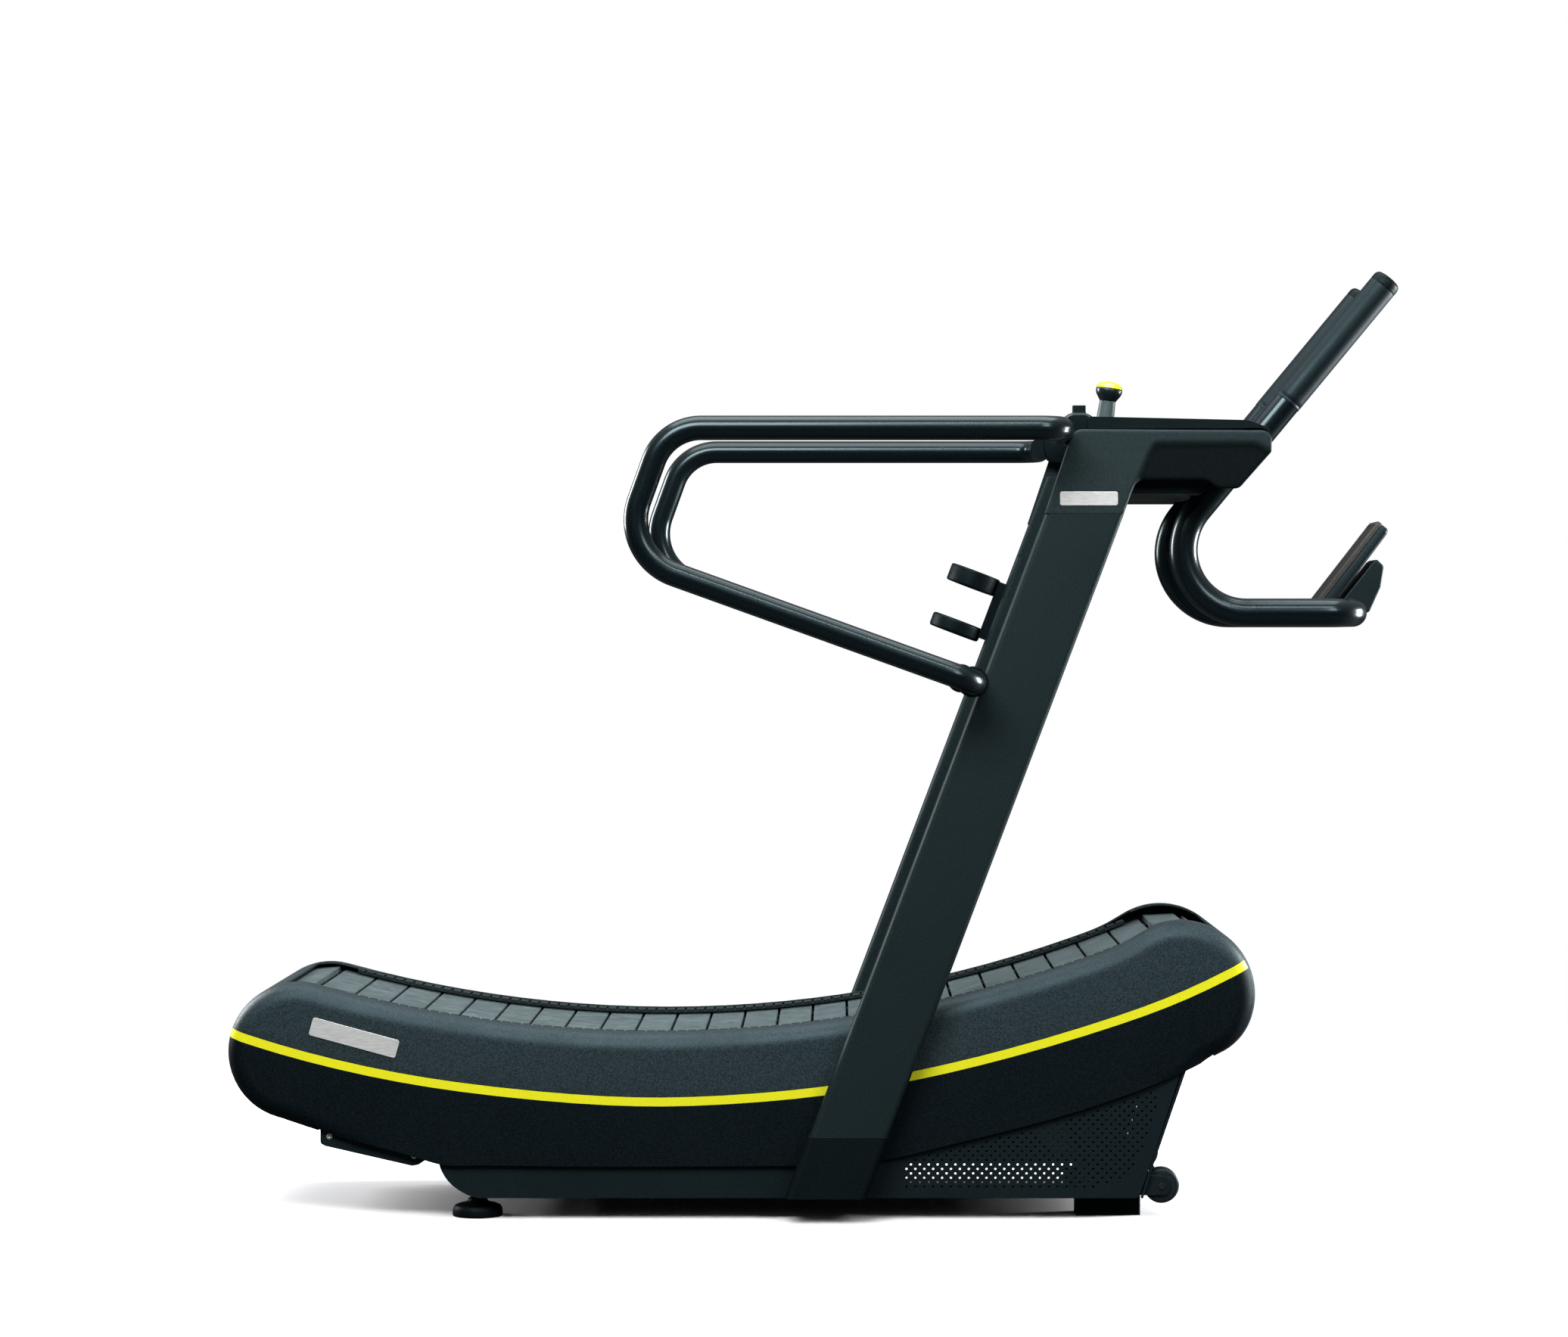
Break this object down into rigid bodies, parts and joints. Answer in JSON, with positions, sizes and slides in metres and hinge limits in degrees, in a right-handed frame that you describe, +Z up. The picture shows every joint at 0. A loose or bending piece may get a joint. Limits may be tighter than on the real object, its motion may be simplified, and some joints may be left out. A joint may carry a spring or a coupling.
{
  "type": "curved manual treadmill",
  "caption": "Self-powered treadmill with a concave slatted running belt, twin leaning posts, side handrails, push handles, a low U bar, a resistance lever and a display.",
  "frame": {"origin": "on the floor at the middle of the bounding box", "axes": "+X the front (the way the runner faces), +Y the runner's left, +Z up"},
  "size_m": [2.0564, 0.9338, 1.6629],
  "materials": {
    "aluminium": "turned aluminium",
    "badge_metal": "brushed blank plate",
    "belt_rubber": "black rubber",
    "console_black": "grained black plastic",
    "cover_black": "grained near-black plastic",
    "cover_grey": "grained dark slate plastic",
    "display_black": "black plastic",
    "display_frame": "warm grey rim and dark glossy face",
    "foot_black": "black rubber",
    "frame_paint": "satin black paint",
    "head_grey": "grained dark grey plastic",
    "lever_grey": "satin grey plastic",
    "panel_black": "satin black paint",
    "post_paint": "fine textured dark grey paint",
    "ribbed_rubber": "ribbed black rubber",
    "slat_rubber": "worn dark grey rubber",
    "steel": "plain steel",
    "trim_yellow": "bright yellow plastic",
    "tube_black": "satin black paint",
    "wheel_black": "black rubber tyre"
  },
  "bodies": {
    "base": {"axle_bearing_blocks": "frame_paint", "badge_plates": "badge_metal", "base_frame": "frame_paint", "bottle_holder": "console_black", "brake_belt": "belt_rubber", "console_beam": "frame_paint", "console_cover": "console_black", "cover_screws": "steel", "display_body": "display_black", "display_mount": "display_black", "display_screen": "display_frame", "front_foot_blocks": "foot_black", "front_hood": "cover_grey", "front_panel": "panel_black", "guide_bearings": "steel", "handle_end_caps": "console_black", "handrail_left": "tube_black", "handrail_right": "tube_black", "head_panel_left": "head_grey", "head_panel_right": "head_grey", "lever_bracket": "steel", "low_handlebar": "tube_black", "post_boot_left": "post_paint", "post_boot_right": "post_paint", "post_left": "post_paint", "post_right": "post_paint", "push_handle_left": "tube_black", "push_handle_right": "tube_black", "rear_hood": "cover_grey", "rear_plates": "panel_black", "side_cover_lower_left": "cover_black", "side_cover_lower_right": "cover_black", "side_cover_upper_left": "cover_grey", "side_cover_upper_right": "cover_grey", "side_strip_left": "ribbed_rubber", "side_strip_right": "ribbed_rubber", "trim_strips": "trim_yellow", "vent_panel_left": "panel_black", "vent_panel_right": "panel_black"},
    "belt_top": {"slats_top": "slat_rubber", "belts_top": "belt_rubber"},
    "belt_front": {"slats_front": "slat_rubber", "belts_front": "belt_rubber"},
    "belt_bottom": {"slats_bottom": "slat_rubber", "belts_bottom": "belt_rubber"},
    "belt_rear": {"slats_rear": "slat_rubber", "belts_rear": "belt_rubber"},
    "front_drum": {"front_axle": "steel", "front_pulleys": "aluminium"},
    "rear_drum": {"rear_axle": "steel", "rear_pulleys": "aluminium"},
    "flywheel_body": {"flywheel": "aluminium"},
    "magnet_carrier": {"brake_magnet": "steel"},
    "lever": {"gear_lever": "lever_grey", "lever_cap": "trim_yellow"},
    "button_right_body": {"button_right": "console_black"},
    "button_left_body": {"button_left": "console_black"},
    "wheels": {"transport_wheels": "wheel_black"},
    "foot_right": {"levelling_foot_right": "foot_black"},
    "foot_left": {"levelling_foot_left": "foot_black"}
  },
  "joints": [
    {"name": "belt_travel", "type": "hinge", "parent": "base", "child": "belt_top", "pos_m": [-0.27821, 0, 2.575], "axis": [0, 1, 0], "range_deg": [-0.8, 0.8]},
    {"name": "belt_front_turn", "type": "hinge", "parent": "base", "child": "belt_front", "pos_m": [0.63879, 0, 0.39176], "axis": [0, 1, 0], "range_deg": [-18.95, 18.95]},
    {"name": "belt_rear_turn", "type": "hinge", "parent": "base", "child": "belt_rear", "pos_m": [-0.90821, 0, 0.29234], "axis": [0, 1, 0], "range_deg": [-18.95, 18.95]},
    {"name": "belt_bottom_slide", "type": "slide", "parent": "base", "child": "belt_bottom", "axis": [0.9979, 0, 0.0641], "range_m": [-0.0318, 0.0318]},
    {"name": "front_axle_spin", "type": "hinge", "parent": "base", "child": "front_drum", "pos_m": [0.63879, 0, 0.39176], "axis": [0, 1, 0], "continuous": true},
    {"name": "rear_axle_spin", "type": "hinge", "parent": "base", "child": "rear_drum", "pos_m": [-0.90821, 0, 0.29234], "axis": [0, 1, 0], "continuous": true},
    {"name": "flywheel_spin", "type": "hinge", "parent": "base", "child": "flywheel_body", "pos_m": [0.47179, 0, 0.15], "axis": [0, 1, 0], "continuous": true},
    {"name": "gear_lever_tilt", "type": "hinge", "parent": "base", "child": "lever", "pos_m": [0.49819, -0.215, 1.335], "axis": [0, 1, 0], "range_deg": [-4, 22]},
    {"name": "magnet_slide", "type": "slide", "parent": "base", "child": "magnet_carrier", "axis": [1, 0, 0], "range_m": [-0.0056, 0.0285]},
    {"name": "button_right_press", "type": "slide", "parent": "base", "child": "button_right_body", "axis": [0, 0, 1], "range_m": [-0.003, 0]},
    {"name": "button_left_press", "type": "slide", "parent": "base", "child": "button_left_body", "axis": [0, 0, 1], "range_m": [-0.003, 0]},
    {"name": "transport_wheel_spin", "type": "hinge", "parent": "base", "child": "wheels", "pos_m": [0.60379, 0, 0.058], "axis": [0, 1, 0], "continuous": true},
    {"name": "foot_right_turn", "type": "hinge", "parent": "base", "child": "foot_right", "pos_m": [-0.59521, -0.205, 0.03], "axis": [0, 0, 1], "continuous": true},
    {"name": "foot_left_turn", "type": "hinge", "parent": "base", "child": "foot_left", "pos_m": [-0.59521, 0.205, 0.03], "axis": [0, 0, 1], "continuous": true}
  ],
  "couplings": [
    {"joint": "belt_front_turn", "follows": "belt_travel", "ratio": -23.667},
    {"joint": "belt_rear_turn", "follows": "belt_travel", "ratio": -23.667},
    {"joint": "belt_bottom_slide", "follows": "belt_travel", "m_per_rad": 2.272},
    {"joint": "front_axle_spin", "follows": "belt_travel", "ratio": -23.667},
    {"joint": "rear_axle_spin", "follows": "belt_travel", "ratio": -23.667},
    {"joint": "flywheel_spin", "follows": "belt_travel", "ratio": -61.139},
    {"joint": "magnet_slide", "follows": "gear_lever_tilt", "m_per_rad": 0.073}
  ]
}
